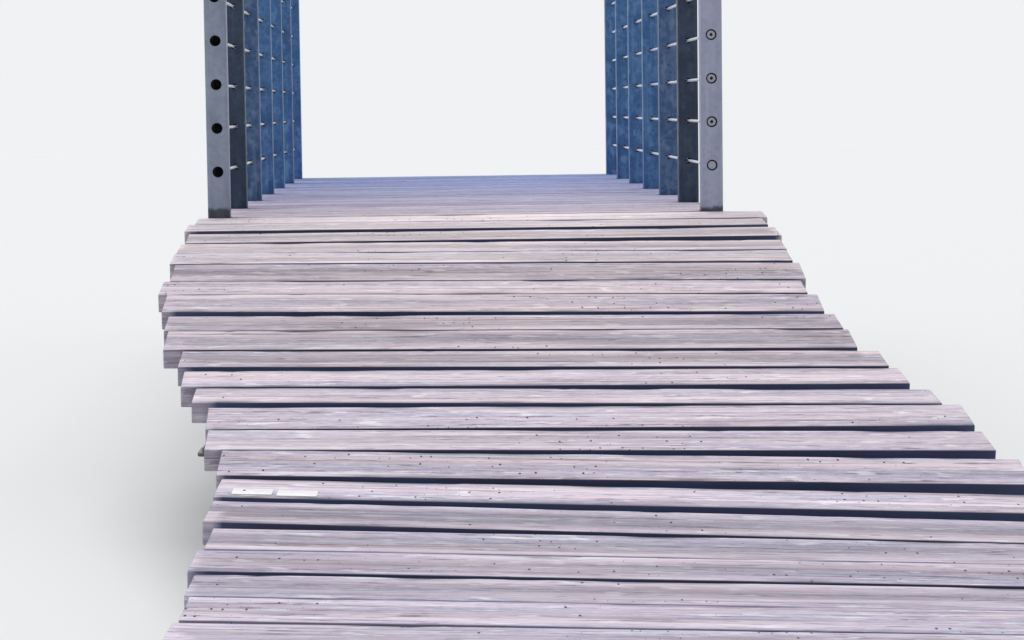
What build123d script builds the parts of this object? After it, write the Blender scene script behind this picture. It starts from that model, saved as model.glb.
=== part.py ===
from build123d import *

import os
from math import hypot, sin, tan

os.makedirs("parts", exist_ok=True)

# A garden boardwalk in millimetres. While it is built, x = 0 is midway between the two rows of
# posts, y = 0 is the front face of the first posts, with the ramp running down towards -y, and
# z = 0 is the ground. At the end the whole walk is moved to stand on the middle of its own box.

# Deck boards
board_width = 140
board_thickness = 45
tight_joint = 4
level_joint = 2
boards_per_bay = 5
bays = 6
notch_clearance = 3

# Ramp, with the fall of each board from the top one down: they lie unevenly
ramp_falls = [0.090, 0.085, 0.120, 0.125, 0.140, 0.245, 0.165, 0.235, 0.165, 0.230, 0.160,
              0.150, 0.115, 0.210, 0.165, 0.235, 0.115, 0.135, 0.105, 0.100, 0.090, 0.090]
approach_boards = 6
approach_fall = 0.030
foot_cross_fall = 0.027
cross_fall_end = -2500
ramp_board_length = 1555
end_stagger = 9

# Joints of the ramp that stand open, wider at one end: the left and the right width
open_joints = {2: (44, 14), 3: (8, 48), 5: (12, 12), 8: (45, 17), 10: (16, 16), 11: (42, 8),
               12: (14, 44), 13: (37, 5), 14: (10, 29), 15: (2, 48), 16: (14, 66), 17: (28, 55),
               18: (38, 5), 20: (18, 14), 21: (6, 2), 22: (9, 9)}

# Joints where the next board lies lower, and by how much
joint_steps = {2: 3, 3: 2}

# How far the boards of the ramp stand to the right of the level deck, and where that grows
top_offset = 34
foot_offset = 277
bend_start = -900
bend_end = -2650

# Height of the walking surface above the ground where the approach ends
approach_height = 112

# Railing posts, of square tube
post_width = 60
post_depth = 60
post_wall = 4
post_clear_width = 1305
post_above_deck = 960
foot_plate_size = 140
foot_plate_thickness = 10

# Rods through the posts. Round things that repeat this often are drawn with few sides.
round_sides = 10
access_hole_sides = 16
rod_count = 7
rod_diameter = 8
rod_spacing = 120
lowest_rod = 126
rod_fit = 0.2
pass_hole_diameter = 16
access_hole_diameter = 30
nut_width = 13
nut_height = 8

# Top rail, of rectangular tube
rail_width = 70
rail_height = 40
rail_wall = 4
rail_overhang = 35
rail_cap = 5

# Steel under the level deck
edge_beam_depth = 160
edge_beam_width = 50
edge_beam_wall = 6
header_width = 60
header_wall = 5
joist_width = 60
joist_depth = 80
cross_beam_width = 60
cross_beam_wall = 5

# Timber under the ramp and the approach
stringer_width = 60
stringer_depth = 190
stringer_spacing = 540
seat_clearance = 0.2
cross_beam_stations = (-1080, -2080)
sleeper_width = 100
sleeper_depth = 90
sleeper_length = 1300
notch_depth = 12
leg_size = 90

# Sizes that follow from those above
bay_length = boards_per_bay * (board_width + level_joint)
snug_hole = rod_diameter + 2 * rod_fit
near_nut_seat = post_depth - post_wall
far_nut_seat = bays * bay_length + post_wall
level_board_length = post_clear_width + 2 * post_width
level_length = bays * bay_length + level_joint / 2 + board_width
post_centre = (post_clear_width + post_width) / 2
ramp_boards = len(ramp_falls)
falls = ramp_falls + [approach_fall] * approach_boards


def joint_widths(number):
    """The left and right width of the joint on the near side of a board."""
    return open_joints.get(number, (tight_joint, tight_joint))


def path_offset(y):
    """How far the middle of a ramp board stands to the right."""
    share = (bend_start - y) / (bend_start - bend_end)
    share = min(max(share, 0), 1)
    return top_offset + (foot_offset - top_offset) * share * share * (3 - 2 * share)


class Board:
    """Where one sloping board lies: its middle, its falls and its turn in plan."""

    def __init__(self, number, x, y, height, fall, cross_fall, turn):
        self.number = number
        self.x = x
        self.y = y
        self.height = height
        self.fall = fall
        self.cross_fall = cross_fall
        self.turn = turn
        self.steepness = hypot(1, fall, cross_fall)

    def surface(self, x, y):
        """Height of the board's top above or below the point x, y."""
        return self.height + self.fall * (y - self.y) - self.cross_fall * (x - self.x)

    def underside(self, x, y):
        return self.surface(x, y) - board_thickness * self.steepness

    def reach(self, x, slant):
        """The y of the far and the near end of the board's seat on a timber that runs askew at x."""
        middle = self.y - tan(self.turn) * (x - self.x)
        middle += board_thickness * self.fall / self.steepness
        half = board_width / 2 / hypot(1, self.fall) + abs(tan(self.turn) + slant) * stringer_width / 2
        return middle + half, middle - half

    def seat(self, x, y, slant):
        """The height of that seat at x, y, below the board over the timber's full width."""
        side = stringer_width / 2
        return min(self.underside(x + side, y + side * slant),
                   self.underside(x - side, y - side * slant)) - seat_clearance

    def solid(self):
        along = Vector(1, -tan(self.turn), -self.fall * tan(self.turn) - self.cross_fall)
        up = Vector(self.cross_fall, -self.fall, 1)
        place = Plane(origin=(self.x, self.y, self.height), x_dir=along, z_dir=up)
        size = (ramp_board_length, board_width, board_thickness)
        return place * Box(*size, align=(Align.CENTER, Align.CENTER, Align.MAX))


def lay_boards():
    """Lays the boards one after another, from the level deck down; the deck is at height 0."""
    boards = []
    y = -board_thickness * falls[0]
    drop = 0
    turn = 0
    joint_before = tight_joint
    for number, fall in enumerate(falls, start=1):
        left, right = joint_widths(number)
        to_middle = (joint_before / 2 + board_width / 2) / hypot(1, fall)
        to_joint = (board_width / 2 + (left + right) / 4) / hypot(1, fall)
        middle = y - to_middle
        cross_fall = foot_cross_fall * min(middle / cross_fall_end, 1)
        x = path_offset(middle) + end_stagger * sin(2.4 * number)
        height = -drop - fall * to_middle - cross_fall * x
        boards.append(Board(number, x, middle, height, fall, cross_fall, turn))
        y = middle - to_joint
        drop += fall * (to_middle + to_joint) + joint_steps.get(number, 0)
        turn += (right - left) / ramp_board_length
        joint_before = (left + right) / 2
    return boards


sloping_boards = lay_boards()
last_board = sloping_boards[-1]
deck_height = approach_height - last_board.height
for board in sloping_boards:
    board.height += deck_height
under_deck = deck_height - board_thickness
ramp_foot = (sloping_boards[ramp_boards - 1].y + sloping_boards[ramp_boards].y) / 2
walk_end = last_board.y - board_width / 2


def level_board(number):
    """One board of the level deck, out to the posts' outer faces. Beside posts it is notched."""
    near = number * (board_width + level_joint) + level_joint / 2
    on_front_edge = (Align.CENTER, Align.MIN, Align.MAX)
    board = Box(level_board_length, board_width, board_thickness, align=on_front_edge)
    if number % boards_per_bay == 0:
        depth = post_depth + notch_clearance - level_joint / 2
        between = Box(post_clear_width - 2 * notch_clearance, depth, board_thickness, align=on_front_edge)
        beyond = Box(level_board_length, board_width - depth, board_thickness, align=on_front_edge)
        board = between + Pos(0, depth, 0) * beyond
    return Pos(0, near, deck_height) * board


def tube(width, depth, height, wall):
    """A rectangular tube that stands on z = 0."""
    outline = Rectangle(width, depth) - Rectangle(width - 2 * wall, depth - 2 * wall)
    return extrude(outline, height)


def rod_heights():
    return [deck_height + lowest_rod + rod_spacing * step for step in range(rod_count)]


def bar_along_y(diameter, y_from, y_to, sides=round_sides):
    place = Plane(origin=(0, y_from, 0), x_dir=(1, 0, 0), z_dir=(0, 1, 0))
    return extrude(place * RegularPolygon(diameter / 2, sides), y_to - y_from)


def hole_row(diameter, wall_middle):
    """The holes for the rods through one wall of a post."""
    sides = access_hole_sides if diameter == access_hole_diameter else round_sides
    hole = bar_along_y(diameter, wall_middle - post_wall, wall_middle + post_wall, sides)
    return [Pos(0, 0, z) * hole for z in rod_heights()]


def post(front_hole, back_hole):
    """A post of the railing that runs down to its foot plate; its front face is at y = 0."""
    bottom = foot_plate_thickness
    body = tube(post_width, post_depth, deck_height + post_above_deck - bottom, post_wall)
    body = Pos(0, post_depth / 2, bottom) * body
    return body - hole_row(front_hole, post_wall / 2) - hole_row(back_hole, post_depth - post_wall / 2)


def rod():
    """A rod that runs from inside the first post to inside the last one, through all the others."""
    return bar_along_y(rod_diameter, near_nut_seat - nut_height, far_nut_seat + nut_height)


def rod_nuts():
    """The nuts at both ends of a rod, each against the inner face of an end post's wall."""
    outline = RegularPolygon(nut_width / 2, 6, major_radius=False)
    nut = extrude(outline - RegularPolygon(snug_hole / 2, round_sides), nut_height)
    return [Pos(0, near_nut_seat, 0) * Rot(90, 0, 0) * nut, Pos(0, far_nut_seat, 0) * Rot(-90, 0, 0) * nut]


def top_rail():
    """The rail on top of one row of posts, closed at both ends."""
    length = bays * bay_length + post_depth + 2 * rail_overhang
    body = Rot(-90, 0, 0) * tube(rail_width, rail_height, length, rail_wall)
    body = Pos(0, -rail_overhang, deck_height + post_above_deck + rail_height / 2) * body
    cap = Box(rail_width, rail_cap, rail_height, align=(Align.CENTER, Align.MAX, Align.MIN))
    body += Pos(0, -rail_overhang, deck_height + post_above_deck) * cap
    body += Pos(0, length - rail_overhang + rail_cap, deck_height + post_above_deck) * cap
    return body


def edge_beam():
    """The channel under the left ends of the level boards, its back against the posts."""
    outline = Rectangle(edge_beam_width, edge_beam_depth, align=(Align.MIN, Align.MAX))
    hollow = Rectangle(edge_beam_width, edge_beam_depth - 2 * edge_beam_wall, align=(Align.MIN, Align.MAX))
    outline -= Pos(edge_beam_wall, -edge_beam_wall) * hollow
    corner = (-post_clear_width / 2, header_width, under_deck)
    place = Plane(origin=corner, x_dir=(1, 0, 0), z_dir=(0, -1, 0))
    return extrude(place * outline, -(level_length - header_width))


def header():
    """The beam between the first posts, where the ramp's stringers end."""
    outline = Rectangle(header_width, edge_beam_depth) - Rectangle(
        header_width - 2 * header_wall, edge_beam_depth - 2 * header_wall)
    place = Plane(origin=(-post_clear_width / 2, header_width / 2, under_deck - edge_beam_depth / 2),
                  x_dir=(0, 1, 0), z_dir=(1, 0, 0))
    return extrude(place * outline, post_clear_width)


def cross_beam():
    """A tube between the edge beams at a pair of posts, on their lower flanges."""
    height = edge_beam_depth - edge_beam_wall - joist_depth
    length = post_clear_width - 2 * edge_beam_wall
    bottom = under_deck - edge_beam_depth + edge_beam_wall
    body = Rot(0, 90, 0) * tube(height, cross_beam_width, length, cross_beam_wall)
    return Pos(-length / 2, post_depth / 2, bottom + height / 2) * body


def joist():
    """The middle joist of the level deck, which lies on the cross beams."""
    length = level_length - header_width
    size = Box(joist_width, length, joist_depth, align=(Align.CENTER, Align.MIN, Align.MAX))
    return Pos(0, header_width, under_deck) * size


def sleeper_height(station):
    """Height of the top of a cross beam under the ramp."""
    return stringer_bottom(station) + notch_depth


def stringer_bottom(y):
    """Height of the straight lower edge of the ramp's stringers."""
    start = under_deck - stringer_depth
    fall = (deck_height - sloping_boards[ramp_boards - 1].height) / -sloping_boards[ramp_boards - 1].y
    return start + fall * y


def stringer_x(side, y):
    """Middle of a ramp stringer in plan, which runs a little askew."""
    return top_offset + (foot_offset - top_offset) * y / ramp_foot + side * stringer_spacing


def seat_line(x_at):
    """The top line of a timber whose middle is at x_at(y): it follows the boards that lie on it."""
    slant = x_at(-1) - x_at(0)
    reaches = [(board, *board.reach(x_at(board.y), slant)) for board in sloping_boards]
    points = []
    for y in sorted([y for board, far, near in reaches for y in (far, near)], reverse=True):
        heights = [board.seat(x_at(y), y, slant) for board, far, near in reaches if near <= y <= far]
        points.append((y, min(heights)))
    return points


def height_on(line, y):
    """Height of a line of points, which runs down towards -y, at y."""
    for (y_far, z_far), (y_near, z_near) in zip(line, line[1:]):
        if y_near <= y:
            break
    return z_near + (z_far - z_near) * (y - y_near) / (y_far - y_near)


def stretch_of(line, y_far, y_near):
    """The points of a line between two places, with its heights at both of them."""
    inside = [(y, z) for y, z in line if y_near < y < y_far]
    return [(y_far, height_on(line, y_far))] + inside + [(y_near, height_on(line, y_near))]


def timber_on_edge(x_far, x_near, outline):
    """A timber whose outline is drawn on an upright plane that runs from x_far to x_near in plan."""
    y_far = outline[0][0]
    slant = (x_near - x_far) / (y_far - min(y for y, z in outline))
    place = Plane(origin=(x_far, y_far, 0), x_dir=(slant, -1, 0), z_dir=(-1, -slant, 0))
    corners = [((y_far - y) * hypot(1, slant), z) for y, z in outline]
    face = place * make_face(Polyline(*corners, close=True))
    return extrude(face, stringer_width / 2, both=True)


def ramp_stringer(side):
    """One of the timbers that carry the ramp, from the header down to the ground."""
    def x_at(y):
        return stringer_x(side, y)

    far = stringer_width
    near = ramp_foot - stringer_width
    ground = -stringer_bottom(0) / (stringer_bottom(1) - stringer_bottom(0))
    outline = stretch_of(seat_line(x_at), far, near)
    outline += [(near, 0), (ground, 0), (far, stringer_bottom(far))]
    body = timber_on_edge(x_at(far), x_at(near), outline)
    body &= Box(4 * post_clear_width, -ramp_foot, 4 * deck_height,
                align=(Align.CENTER, Align.MAX, Align.CENTER))
    return body - [sleeper_space(station) for station in cross_beam_stations]


def sleeper_space(station):
    """The room that a cross beam takes below the ramp, with the full length of the beam."""
    x = stringer_x(0, station)
    height = sleeper_height(station) + 1
    size = Box(sleeper_length, sleeper_width, height, align=(Align.CENTER, Align.CENTER, Align.MIN))
    return Pos(x, station, -1) * size


def ramp_cross_beam(station):
    """A beam across the ramp, under its stringers. It lies on legs, or on the ground where it is low."""
    top = sleeper_height(station)
    depth = min(sleeper_depth, top)
    size = Box(sleeper_length, sleeper_width, depth, align=(Align.CENTER, Align.CENTER, Align.MAX))
    return Pos(stringer_x(0, station), station, top) * size


def ramp_leg(side, station):
    height = sleeper_height(station) - sleeper_depth
    size = Box(leg_size, leg_size, height, align=(Align.CENTER, Align.CENTER, Align.MIN))
    return Pos(stringer_x(side, station), station, 0) * size


def approach_bearer(side):
    """The bearer under the approach, flat on the ground."""
    x = foot_offset + side * stringer_spacing
    line = seat_line(lambda y: x)
    line.append((walk_end, line[-1][1]))
    return timber_on_edge(x, x, stretch_of(line, ramp_foot, walk_end) + [(walk_end, 0), (ramp_foot, 0)])


def foot_plate():
    plate = Box(foot_plate_size, foot_plate_size, foot_plate_thickness,
                align=(Align.CENTER, Align.CENTER, Align.MIN))
    return Pos(0, post_depth / 2, 0) * plate


def at_posts(solid, numbers):
    """Copies of a solid at the posts of one row, counted from the ramp."""
    return [Pos(0, number * bay_length, 0) * solid for number in numbers]


# All the nodes, each a solid or a group of like solids that don't touch
nodes = {"rod_nuts": []}
posts = at_posts(post(access_hole_diameter, snug_hole), [0])
posts += at_posts(post(pass_hole_diameter, snug_hole), range(1, bays))
posts += at_posts(post(snug_hole, access_hole_diameter), [bays])
one_rod = rod()
one_rail = top_rail()
for side_name, side in (("left", -1), ("right", 1)):
    row = Pos(side * post_centre, 0, 0)
    for number, one_post in enumerate(posts, start=1):
        nodes[f"{side_name}_post_{number}"] = [row * one_post]
    nodes[f"{side_name}_rods"] = [row * Pos(0, 0, z) * one_rod for z in rod_heights()]
    nodes["rod_nuts"] += [row * Pos(0, 0, z) * nut for z in rod_heights() for nut in rod_nuts()]
    nodes[f"{side_name}_top_rail"] = [row * one_rail]
    nodes[f"{side_name}_foot_plates"] = [row * plate for plate in at_posts(foot_plate(), range(bays + 1))]

nodes["left_edge_beam"] = [edge_beam()]
nodes["right_edge_beam"] = [mirror(edge_beam(), about=Plane.YZ)]
nodes["header_beam"] = [header()]
nodes["cross_beams"] = at_posts(cross_beam(), range(1, bays + 1))
nodes["middle_joist"] = [joist()]

for bay in range(bays):
    first = bay * boards_per_bay
    numbers = range(first, first + boards_per_bay)
    nodes[f"deck_boards_{bay + 1}"] = [level_board(number) for number in numbers]
nodes["end_board"] = [level_board(bays * boards_per_bay)]

ramp_groups = {"ramp_boards_top": 5, "ramp_boards_upper": 6, "ramp_boards_lower": 5, "ramp_boards_foot": 6,
               "approach_boards": approach_boards}
first = 0
for name, count in ramp_groups.items():
    nodes[name] = [board.solid() for board in sloping_boards[first:first + count]]
    first += count

for side_name, side in (("left", -1), ("middle", 0), ("right", 1)):
    nodes[f"{side_name}_stringer"] = [ramp_stringer(side)]
nodes["approach_bearers"] = [approach_bearer(side) for side in (-1, 0, 1)]
nodes["upper_cross_beam"] = [ramp_cross_beam(cross_beam_stations[0])]
nodes["lower_cross_beam"] = [ramp_cross_beam(cross_beam_stations[1])]
nodes["ramp_legs"] = [ramp_leg(side, cross_beam_stations[0]) for side in (-1, 0, 1)]

# The walk stands on the middle of its own box
boxes = [solid.bounding_box() for solids in nodes.values() for solid in solids]
middle_x = (min(box.min.X for box in boxes) + max(box.max.X for box in boxes)) / 2
middle_y = (min(box.min.Y for box in boxes) + max(box.max.Y for box in boxes)) / 2
home = Pos(-middle_x, -middle_y, 0)
for name, solids in nodes.items():
    export_step(Compound(children=[home * solid for solid in solids]), f"parts/{name}.step")
print("deck height", round(deck_height, 3), "moved by", home.position)
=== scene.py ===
import random
from math import atan2, cos, radians, sin

import bmesh
import bpy
from mathutils import Matrix, Vector, noise


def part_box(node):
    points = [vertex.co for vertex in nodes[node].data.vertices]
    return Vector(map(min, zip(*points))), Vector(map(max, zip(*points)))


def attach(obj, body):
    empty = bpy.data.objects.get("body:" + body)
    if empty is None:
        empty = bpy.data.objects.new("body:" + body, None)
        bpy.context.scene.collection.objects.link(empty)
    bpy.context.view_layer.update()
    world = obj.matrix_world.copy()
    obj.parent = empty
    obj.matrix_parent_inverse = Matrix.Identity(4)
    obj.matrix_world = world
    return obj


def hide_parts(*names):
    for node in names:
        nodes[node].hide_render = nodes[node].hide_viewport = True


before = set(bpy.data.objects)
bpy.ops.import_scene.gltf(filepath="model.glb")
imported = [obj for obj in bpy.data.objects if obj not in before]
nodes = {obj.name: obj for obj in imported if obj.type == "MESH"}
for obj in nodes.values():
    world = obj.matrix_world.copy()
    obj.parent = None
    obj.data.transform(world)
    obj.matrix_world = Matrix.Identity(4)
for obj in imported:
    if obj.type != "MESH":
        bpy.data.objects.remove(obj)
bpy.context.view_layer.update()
scene = bpy.context.scene
scene.view_settings.view_transform = "Standard"
print("frame loaded,", len(nodes), "nodes")

# the camera stands where the photo was taken; the walk rises and runs on along +Y
cameraLook = {
    "eye": (-0.2434, -7.7826, 0.9510),
    "yaw": 1.55,  # degrees to the right of +Y
    "pitch": 4.35,  # degrees down
    "roll": 0.762,
    "lens": 98.4375,
    "farthest": 200,
}


def addObject(name, data):
    made = bpy.data.objects.new(name, data)
    scene.collection.objects.link(made)
    return made


def placeCamera():
    yaw, pitch, roll = (radians(cameraLook[turn]) for turn in ("yaw", "pitch", "roll"))
    forward = Vector((sin(yaw) * cos(pitch), cos(yaw) * cos(pitch), -sin(pitch)))
    right = Vector((cos(yaw), -sin(yaw), 0))
    up = right.cross(forward)
    rolledRight = right * cos(roll) - up * sin(roll)
    rolledUp = right * sin(roll) + up * cos(roll)
    turned = Matrix((rolledRight, rolledUp, -forward)).transposed().to_4x4()
    data = bpy.data.cameras.new("photoCamera")
    data.lens = cameraLook["lens"]
    data.clip_end = cameraLook["farthest"]
    camera = addObject("photoCamera", data)
    camera.matrix_world = Matrix.Translation(cameraLook["eye"]) @ turned
    scene.camera = camera


placeCamera()
print("camera placed")


def setSockets(tree, node, sockets):
    # links a socket to another node's output, or sets it where the value is a plain one
    for socket, value in sockets.items():
        if isinstance(value, bpy.types.NodeSocket):
            tree.links.new(value, node.inputs[socket])
        else:
            node.inputs[socket].default_value = value


def addNode(tree, kind, sockets=None, **settings):
    made = tree.nodes.new(kind)
    for name, value in settings.items():
        setattr(made, name, value)
    setSockets(tree, made, sockets or {})
    return made


def mathNode(tree, operation, *values):
    return addNode(tree, "ShaderNodeMath", dict(enumerate(values)), operation=operation).outputs[0]


def startMaterial(name):
    material = bpy.data.materials.new(name)
    material.use_nodes = True
    tree = material.node_tree
    return material, tree, tree.nodes["Principled BSDF"]


def meshFrom(shape, name):
    mesh = bpy.data.meshes.new(name)
    shape.to_mesh(mesh)
    shape.free()
    return mesh


# the light, the floor and the background
studio = {
    "skyColour": (0.93, 0.96, 1.0),
    "skyStrength": 0.44,
    "keyStrength": 2.1,
    "keyAngle": 55,  # degrees across, which makes its shadows soft
    "keyTilt": 28,  # degrees from straight above, towards the far end
    "keyTurn": 20,
    "floorSize": 120,
    "floorColour": (0.86, 0.86, 0.855),
    "floorRoughness": 0.9,
    "floorGloss": 0.1,
    "backColour": (0.872, 0.886, 0.896),
    "backStrength": 1.0,
}


def setTheLight():
    world = bpy.data.worlds.new("studioSky")
    scene.world = world
    world.use_nodes = True
    tree = world.node_tree
    tree.nodes.clear()
    path = addNode(tree, "ShaderNodeLightPath")
    sky, back = (addNode(tree, "ShaderNodeBackground", {"Color": (*studio[part + "Colour"], 1),
                                                        "Strength": studio[part + "Strength"]})
                 for part in ("sky", "back"))
    seen = path.outputs["Is Camera Ray"]
    for kind in ("Is Glossy Ray", "Is Transmission Ray"):
        seen = mathNode(tree, "MAXIMUM", seen, path.outputs[kind])
    pick = addNode(tree, "ShaderNodeMixShader", {0: seen, 1: sky.outputs[0], 2: back.outputs[0]})
    addNode(tree, "ShaderNodeOutputWorld", {0: pick.outputs[0]})
    key = bpy.data.lights.new("key", "SUN")
    key.energy = studio["keyStrength"]
    key.angle = radians(studio["keyAngle"])
    lamp = addObject("key", key)
    lamp.rotation_euler = (radians(-studio["keyTilt"]), 0, radians(studio["keyTurn"]))


def layTheFloor():
    shape = bmesh.new()
    bmesh.ops.create_grid(shape, x_segments=1, y_segments=1, size=studio["floorSize"] / 2)
    floor = addObject("floor", meshFrom(shape, "floor"))
    material, tree, shader = startMaterial("paleFloor")
    setSockets(tree, shader, {"Base Color": (*studio["floorColour"], 1),
                              "Roughness": studio["floorRoughness"],
                              "Specular IOR Level": studio["floorGloss"]})
    floor.data.materials.append(material)


setTheLight()
layTheFloor()
print("light and floor set")


# helpers for the materials

def objectPlace(tree):
    return addNode(tree, "ShaderNodeTexCoord").outputs["Object"]


def mixColours(tree, share, first, second, blend="MIX"):
    sockets = {0: share, 6: first, 7: second}
    return addNode(tree, "ShaderNodeMix", sockets, data_type="RGBA", blend_type=blend).outputs[2]


def stretched(tree, source, scale):
    return addNode(tree, "ShaderNodeMapping", {"Vector": source, "Scale": scale}).outputs[0]


def noiseAt(tree, vector, scale=1.0, detail=3.0, roughness=0.55):
    sockets = {"Vector": vector, "Scale": scale, "Detail": detail, "Roughness": roughness}
    return addNode(tree, "ShaderNodeTexNoise", sockets).outputs["Fac"]


def ramp(tree, value, low, high, toLow=0.0, toHigh=1.0):
    sockets = {"Value": value, "From Min": low, "From Max": high, "To Min": toLow, "To Max": toHigh}
    return addNode(tree, "ShaderNodeMapRange", sockets, interpolation_type="SMOOTHSTEP").outputs[0]


def attribute(tree, name):
    return addNode(tree, "ShaderNodeAttribute", attribute_name=name).outputs["Fac"]


def bumped(tree, height, strength, distance):
    sockets = {"Height": height, "Strength": strength, "Distance": distance}
    return addNode(tree, "ShaderNodeBump", sockets).outputs[0]


# helpers for the shapes

mergeDistance = 0.00001


def finishPiece(shape, name, materials, replaced=(), sharpAbove=40):
    mesh = meshFrom(shape, name)
    for material in materials:
        mesh.materials.append(material)
    mesh.polygons.foreach_set("use_smooth", [True] * len(mesh.polygons))
    mesh.set_sharp_from_angle(angle=radians(sharpAbove))
    piece = addObject(name, mesh)
    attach(piece, "root")
    if replaced:
        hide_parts(*replaced)


def mergedCopy(nodeName):
    shape = bmesh.new()
    shape.from_mesh(nodes[nodeName].data)
    bmesh.ops.remove_doubles(shape, verts=shape.verts, dist=mergeDistance)
    return shape


def plainFaced(nodeName):
    # a merged copy, with each flat side one face again
    shape = mergedCopy(nodeName)
    bmesh.ops.dissolve_limit(shape, angle_limit=radians(0.5), verts=shape.verts, edges=shape.edges)
    return shape


def solidsOf(nodeName):
    # every separate solid of a CAD node, as a bmesh of its own
    whole = mergedCopy(nodeName)
    seen = set()
    found = []
    for start in whole.verts:
        if start in seen:
            continue
        seen.add(start)
        group = [start]
        for vert in group:
            for edge in vert.link_edges:
                other = edge.other_vert(vert)
                if other not in seen:
                    seen.add(other)
                    group.append(other)
        wanted = {vert.index for vert in group}
        single = whole.copy()
        others = [vert for vert in single.verts if vert.index not in wanted]
        bmesh.ops.delete(single, geom=others, context="VERTS")
        found.append(single)
    whole.free()
    return found


def bevelEdges(shape, edges, offset, segments):
    bmesh.ops.bevel(shape, geom=edges, offset=offset, offset_type="OFFSET", affect="EDGES",
                    segments=segments, profile=0.5, material=-1, clamp_overlap=True)


def softenEdges(shape, offset, above):
    # bevels the edges that turn by more than an angle
    sharp = [edge for edge in shape.edges if edge.is_manifold and edge.calc_face_angle(0) > radians(above)]
    bevelEdges(shape, sharp, offset, 2)


def riseOf(edge):
    return abs(edge.verts[0].co.z - edge.verts[1].co.z)


def uprightEdges(shape):
    return [edge for edge in shape.edges if riseOf(edge) > 0.001]


def levelEdges(shape):
    return [edge for edge in shape.edges if riseOf(edge) < 0.0001]


def rimOf(shape, faces):
    return [edge for edge in shape.edges if any(face in faces for face in edge.link_faces)]


def cutAcross(shape, point, direction):
    bmesh.ops.bisect_plane(shape, geom=shape.verts[:] + shape.edges[:] + shape.faces[:],
                           plane_co=point, plane_no=direction, dist=mergeDistance)


def boxShape(size, middle=(0, 0, 0)):
    shape = bmesh.new()
    bmesh.ops.create_cube(shape, size=1)
    bmesh.ops.scale(shape, vec=size, verts=shape.verts)
    bmesh.ops.translate(shape, vec=middle, verts=shape.verts)
    return shape


def addRound(shape, radius, depth, sides, place=Matrix.Identity(4)):
    bmesh.ops.create_cone(shape, cap_ends=True, segments=sides, radius1=radius, radius2=radius,
                          depth=depth, matrix=place)


def addTo(whole, part, matrix):
    # puts a bmesh into another one at a place, and frees it
    bmesh.ops.transform(part, matrix=matrix, verts=part.verts)
    mesh = meshFrom(part, "part")
    whole.from_mesh(mesh)
    bpy.data.meshes.remove(mesh)


def clamped(value, low=0.0, high=1.0):
    return max(low, min(high, value))


def rising(value, start, reach):
    # 0 up to the start, then up to 1 within the reach
    return clamped((value - start) / reach)


# weathered boards
boardColours = {
    "lilac": (0.75, 0.612, 0.646),
    "pink": (0.965, 0.77, 0.766),
    "blueGrey": (0.462, 0.442, 0.562),
    "mauve": (0.462, 0.346, 0.375),
    "bleached": (1.0, 0.925, 0.89),
    "streak": (0.20, 0.157, 0.19),
    "speck": (0.025, 0.022, 0.035),
    # the two joint colours are painted shade on the board sides in the joints, the bluer one deeper down
    "joint": (0.046, 0.037, 0.051),
    "deepJointShade": (0.078, 0.100, 0.210),
    "endWood": (0.27, 0.24, 0.25),
}

# the patterns in the wood: how often each changes in a metre along a board and across it, and its detail
# and roughness
grainLayers = {
    "broad": (0.7, 17, 3, 0.6),
    "bands": (0.9, 31, 3, 0.6),
    "middle": (2.4, 95, 4, 0.65),
    "fine": (9, 480, 3, 0.6),
    "mottle": (30, 95, 6, 0.8),
    "patches": (13, 42, 3, 0.5),
    "waves": (1.1, 52, 2, 0.5),
    "crowd": (1.8, 3.5, 1, 0.55),
}

# the colours laid over each other: pattern, where its tint starts and is full, least and most tint, colour
grainTints = (
    ("mottle", 0.30, 0.70, 0.2, 0.70, "lilac"),
    ("bands", 0.50, 0.70, 0, 0.75, "mauve"),
    ("middle", 0.52, 0.70, 0, 0.70, "bleached"),
    ("middle", 0.45, 0.27, 0, 0.70, "streak"),
    ("fine", 0.48, 0.30, 0, 0.60, "streak"),
)


def specksIn(tree, uv, crowd):
    # small dark specks, more of them in some places than in others
    cells = addNode(tree, "ShaderNodeTexVoronoi", {"Vector": stretched(tree, uv, (1, 0.45, 1)), "Scale": 50},
                    voronoi_dimensions="2D")
    chosen = addNode(tree, "ShaderNodeSeparateColor", {0: cells.outputs["Color"]})
    picked = mathNode(tree, "GREATER_THAN", chosen.outputs[0], ramp(tree, crowd, 0.49, 0.66, 0.982, 0.45))
    size = ramp(tree, chosen.outputs[1], 0.2, 1, 0.040, 0.118)
    inside = mathNode(tree, "LESS_THAN", cells.outputs["Distance"], size)
    return mathNode(tree, "MULTIPLY", inside, picked)


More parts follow.
